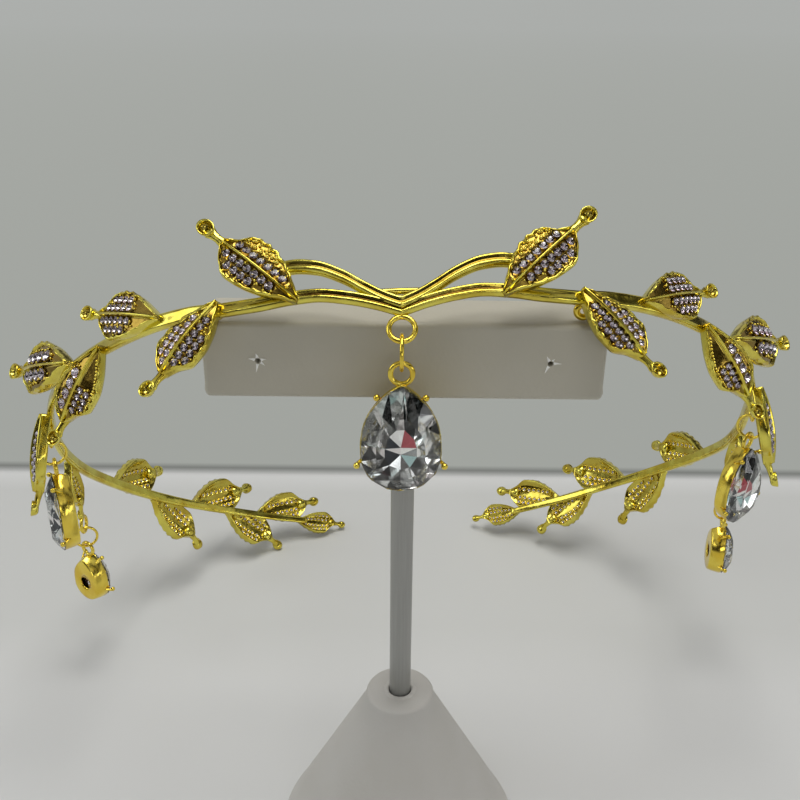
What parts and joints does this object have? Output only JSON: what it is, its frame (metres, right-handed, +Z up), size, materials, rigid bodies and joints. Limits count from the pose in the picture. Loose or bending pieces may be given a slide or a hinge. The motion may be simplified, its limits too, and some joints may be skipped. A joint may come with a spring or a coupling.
{
  "type": "leaf diadem on display stand",
  "caption": "Soldered band of pave leaves with hanging pear drops, resting on a T-bar jewellery display stand with a cone foot.",
  "frame": {"origin": "middle of the stand's flat foot, on the surface it stands on", "axes": "+X towards the right of the front view along the bar, +Y rearwards, +Z up the post"},
  "size_m": [0.1679, 0.144, 0.1312],
  "materials": {
    "stand_cover": "matte off-white cover",
    "post": "satin pale grey",
    "gold": "polished gold plate",
    "leaf_stone": "foil-backed round stones",
    "drop_stone": "faceted clear"
  },
  "bodies": {
    "diadem": {"stand_base": "stand_cover", "stand_post": "post", "stand_bar": "stand_cover", "band": "gold", "leaf_stones_right": "leaf_stone", "leaf_stones_left": "leaf_stone", "right_rear_ring": "gold", "right_rear_setting": "gold", "right_rear_stone": "drop_stone", "left_rear_ring": "gold", "left_rear_setting": "gold", "left_rear_stone": "drop_stone"},
    "centre_link": {"centre_ring": "gold"},
    "centre_drop": {"centre_setting": "gold", "centre_stone": "drop_stone"},
    "right_temple_drop": {"right_temple_ring": "gold", "right_temple_setting": "gold", "right_temple_stone": "drop_stone"},
    "left_temple_drop": {"left_temple_ring": "gold", "left_temple_setting": "gold", "left_temple_stone": "drop_stone"}
  },
  "joints": [
    {"name": "centre_swing", "type": "hinge", "parent": "diadem", "child": "centre_link", "pos_m": [-0.0004, -0.01304, 0.11404], "axis": [1, 0, 0], "range_deg": [-60, 17]},
    {"name": "centre_sway", "type": "hinge", "parent": "centre_link", "child": "centre_drop", "pos_m": [-0.0004, -0.01304, 0.10968], "axis": [0, 1, 0], "range_deg": [-40, 40]},
    {"name": "right_temple_swing", "type": "hinge", "parent": "diadem", "child": "right_temple_drop", "pos_m": [0.07425, 0.03525, 0.07868], "axis": [0.1798, 0.9837, 0], "range_deg": [-10, 40]},
    {"name": "left_temple_swing", "type": "hinge", "parent": "diadem", "child": "left_temple_drop", "pos_m": [-0.07361, 0.03015, 0.07322], "axis": [0.2445, -0.9697, 0], "range_deg": [-35, 40]}
  ]
}
